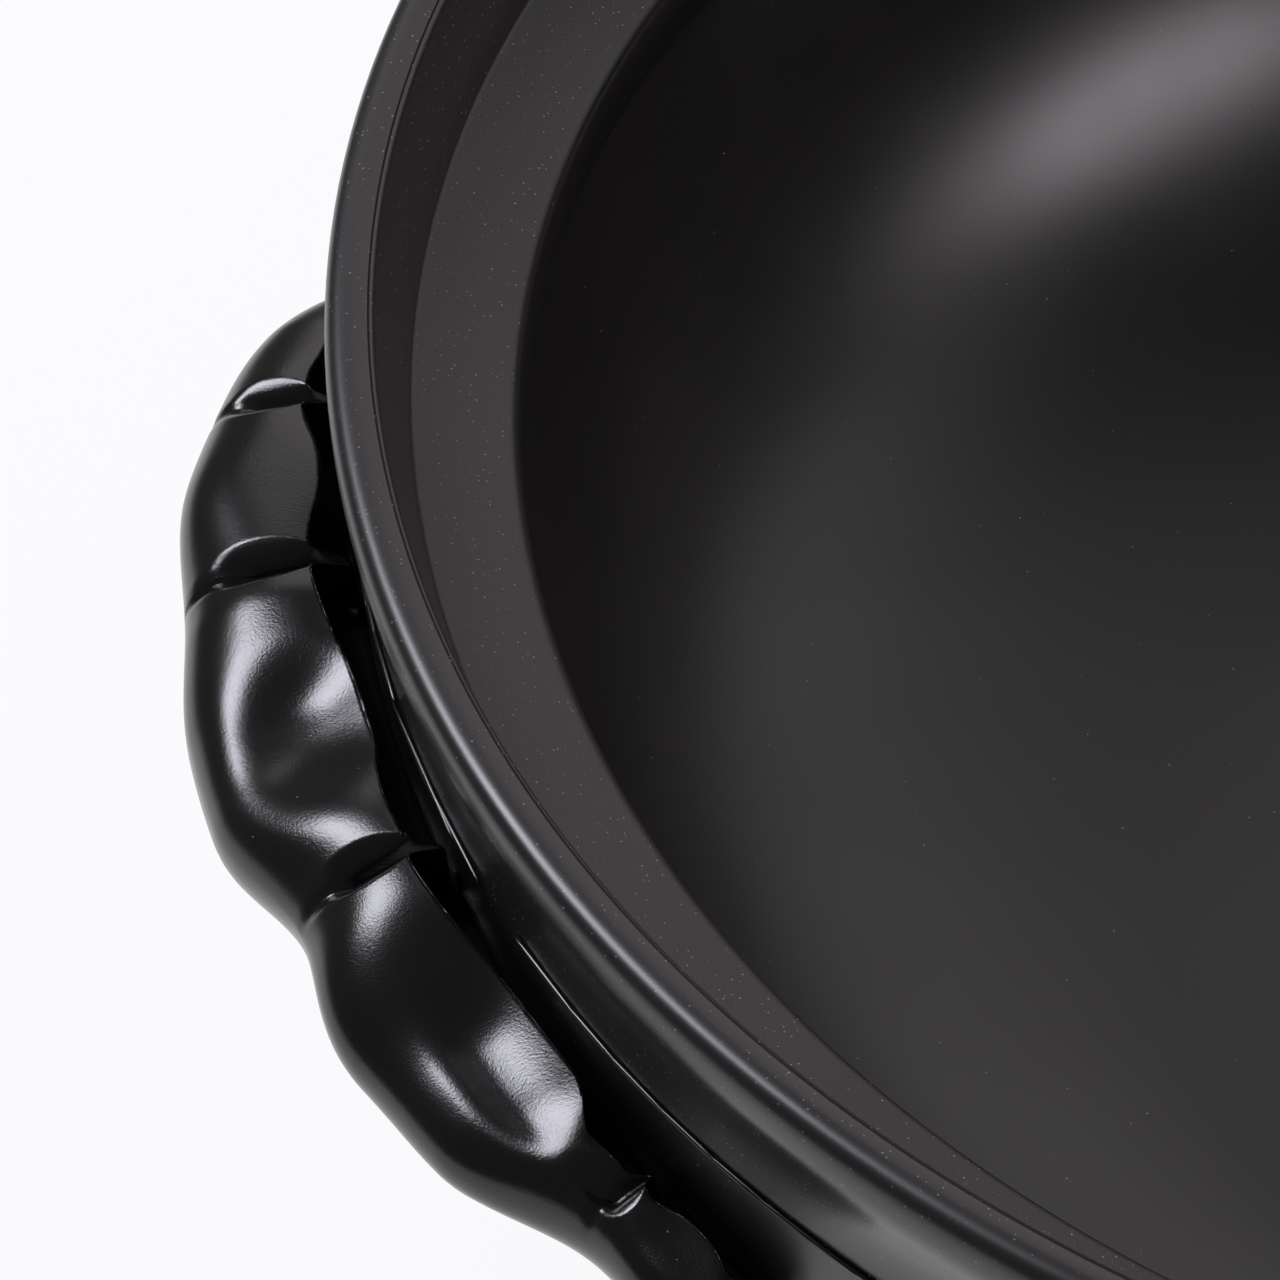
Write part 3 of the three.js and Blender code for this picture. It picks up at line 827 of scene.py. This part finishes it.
def lid_outline():
    """From the middle of the lid's inside out to the rim and back over the dome."""
    dome = bezier(
        (LID_RADIUS, LID_EDGE_HEIGHT),
        (LID_RADIUS - LID_RISE * DOME_SHOULDER[0], LID_RISE * DOME_SHOULDER[1]),
        ((LID_RADIUS + CROWN_RADIUS) / 2, LID_RISE),
        (CROWN_RADIUS, LID_RISE),
        steps=48,
    )
    inside = offset(dome, LID_THICKNESS)
    inside = inside[inside[:, 1] > LID_EDGE_HEIGHT / 2][::-1]
    foot_inner = LID_RADIUS - LID_EDGE_ROUND - LID_FOOT_WIDTH
    return joined(
        (0, LID_RISE - LID_THICKNESS),
        inside,
        rounded((foot_inner, 0), inside[-1], (LID_RADIUS, 0), LID_INNER_ROUND),
        rounded((LID_RADIUS, 0), (0, 0), (LID_RADIUS, LID_EDGE_HEIGHT), LID_EDGE_ROUND),
        dome,
        (0, LID_RISE),
    )


def knob_outline():
    """A pinched ring, from its foot up the outside and down the inside."""
    low, top = knob_low[2], knob_high[2]
    inner = KNOB_RADIUS - KNOB_WALL
    middle = (low + top) / 2
    shoulder = top - KNOB_ROUND
    return joined(
        bezier((KNOB_FOOT, low), (KNOB_RADIUS - KNOB_PINCH, middle), (KNOB_RADIUS, shoulder), steps=16),
        rounded((KNOB_RADIUS, top), (KNOB_RADIUS, low), (inner, top), KNOB_ROUND, 8),
        rounded((inner, top), (KNOB_RADIUS, top), (inner, low), KNOB_ROUND, 8),
        bezier((inner, shoulder), (inner - KNOB_PINCH, middle), (KNOB_FOOT - KNOB_WALL, low), steps=16),
    )


lid = turned("domed_lid", lid_outline(), LID_SEGMENTS, LID_GLAZE, LID_CENTRE)
knob = turned("ring_knob", knob_outline(), KNOB_SEGMENTS, LID_GLAZE, LID_CENTRE, closed=True)

# %% [markdown]
# The potter bores the steam hole with a wet tool that leaves a slight flare at the top. A Boolean modifier cuts it
# with a turned plug, and the sharp edges that the cut leaves are marked, so that the dome around stays smooth. The
# rim that sits on the ledge is wiped bare of glaze.

# %% Bore the steam hole and wipe the rim
VENT_RADIUS = 5 * MM
VENT_FLARE = 1.5 * MM
VENT_SETBACK = 30 * MM
VENT_FLARE_START = 0.7
VENT_SEGMENTS = 48
SHARP_ANGLE = math.radians(40)
WIPED_RIM = (0.8 * MM, 0.3 * MM)

bore = [(VENT_RADIUS, 0), (VENT_RADIUS, LID_RISE * VENT_FLARE_START), (VENT_RADIUS + VENT_FLARE, LID_RISE)]
vent_centre = (LID_CENTRE[0] + CROWN_RADIUS + VENT_SETBACK, 0, 0)
plug = turned("vent_plug", [(0, 0), *bore, (0, LID_RISE)], VENT_SEGMENTS, LID_GLAZE, vent_centre)
cut = lid.modifiers.new("vent", "BOOLEAN")
cut.operation = "DIFFERENCE"
cut.solver = "EXACT"
cut.object = plug
bored = bpy.data.meshes.new_from_object(lid.evaluated_get(bpy.context.evaluated_depsgraph_get()))
lid.modifiers.clear()
lid.data = bored
bored.set_sharp_from_angle(angle=SHARP_ANGLE)
bpy.data.objects.remove(plug)
paint(bored, "bare", ramp(places(bored)[:, 2], *WIPED_RIM))
print("lid bored:", len(bored.polygons), "faces")

# %% [markdown]
# The stage is a white table, lit from below round the pot, so that no hard shadow shows. It fades outwards, because
# a black mirror would show a bright table all the way to the horizon.

# %% Set the stage
FLOOR_HALF = 10.0
GLOW_RADIUS = 0.30
FADE_RADIUS = 0.6
NEAR_GLOW = 0.92
FAR_GLOW = 0.07
TABLE_COLOUR = (0.08, 0.08, 0.081, 1)
TABLE_GLOW = (0.985, 0.985, 1, 1)
corners = [(x, y, 0) for x, y in ((-1, -1), (1, -1), (1, 1), (-1, 1))]
floor_mesh = bpy.data.meshes.new("floor")
floor_mesh.from_pydata([Vector(c) * FLOOR_HALF for c in corners], [], [(0, 1, 2, 3)])
floor = add_object("floor", floor_mesh)


def white_table():
    """A matte white that glows near the pot and fades to a dim grey."""
    material = bpy.data.materials.new("white_table")
    material.use_nodes = True
    nodes = Nodes(material.node_tree)
    shader = material.node_tree.nodes["Principled BSDF"]
    shader.inputs["Base Color"].default_value = TABLE_COLOUR
    shader.inputs["Roughness"].default_value = 0.9
    shader.inputs["Specular IOR Level"].default_value = 0.0
    shader.inputs["Emission Color"].default_value = TABLE_GLOW
    place = nodes.add("ShaderNodeTexCoord").outputs["Object"]
    distance = nodes.add("ShaderNodeVectorMath", {0: place}, operation="LENGTH").outputs["Value"]
    glow = nodes.add("ShaderNodeMapRange", {"Value": distance}, interpolation_type="SMOOTHSTEP")
    limits = {"From Min": GLOW_RADIUS, "From Max": FADE_RADIUS, "To Min": NEAR_GLOW, "To Max": FAR_GLOW}
    for name, value in limits.items():
        glow.inputs[name].default_value = value
    nodes.plug(shader.inputs["Emission Strength"], glow.outputs["Result"])
    return material


floor_mesh.materials.append(white_table())
print("floor:", 2 * FLOOR_HALF, "m across")

# %% [markdown]
# Black glaze shows little but what it mirrors, so each light is placed by the streak that it draws: a window behind
# on the left for the lip's line and the petals' rims, a bright wall behind for the ledge and the bowl's floor, and a
# softbox in front for the highlight on the bowl's far side. Between them the room is dark.

# %% Set the lights
DARK_ROOM = (0.10, 0.10, 0.105, 1)


def softbox(name, azimuth, elevation, distance, width, height, glow, tint, target=(-0.1, 0, 0.07)):
    """A soft light at an azimuth and elevation round its target, which it faces, with a glow per area."""
    data = bpy.data.lights.new(name, "AREA")
    data.shape = "RECTANGLE"
    data.size, data.size_y = width, height
    data.energy = glow * math.pi * width * height
    data.color = tint
    light = bpy.data.objects.new(name, data)
    a, e = math.radians(azimuth), math.radians(elevation)
    away = Vector((math.cos(a) * math.cos(e), math.sin(a) * math.cos(e), math.sin(e)))
    light.location = Vector(target) + away * distance
    light.rotation_euler = (-away).to_track_quat("-Z", "Y").to_euler()
    scene.collection.objects.link(light)
    return light


softbox("window", 126, 48, 1.3, 0.42, 0.5, 18.0, (0.9, 0.9, 1.0))
softbox("back_wall", 48, 31, 2.2, 3.4, 1.35, 0.95, (1.0, 0.95, 0.98))
softbox("front_softbox", -33, 33, 1.6, 0.65, 0.45, 10.0, (1.0, 0.94, 1.0))
world = bpy.data.worlds.new("studio")
world.use_nodes = True
world.node_tree.nodes["Background"].inputs["Color"].default_value = DARK_ROOM
scene.world = world
scene.view_settings.view_transform = "Standard"
print("lights:", [light.name for light in bpy.data.lights])

# %% [markdown]
# Each piece rides on a body of the frame and takes the place of a CAD node, so that it moves with the joints. The
# slip beads have no node of their own: they ride with the pot.

# %% Hand the pieces to the frame
RIDES = (
    (bowl, "pot", "bowl", "bowl_glaze"),
    (left_handle, "pot", "left_handle", "handle_glaze"),
    (right_handle, "pot", "right_handle", "handle_glaze"),
    (left_seam, "pot", None, "handle_glaze"),
    (right_seam, "pot", None, "handle_glaze"),
    (lid, "lid", "lid", "lid_glaze"),
    (knob, "lid", "lid_knob", "lid_glaze"),
)
for piece, body, node, slot in RIDES:
    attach(piece, body)
    if node:
        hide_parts(node)
print("handed over:", [piece.name for piece, *_ in RIDES])
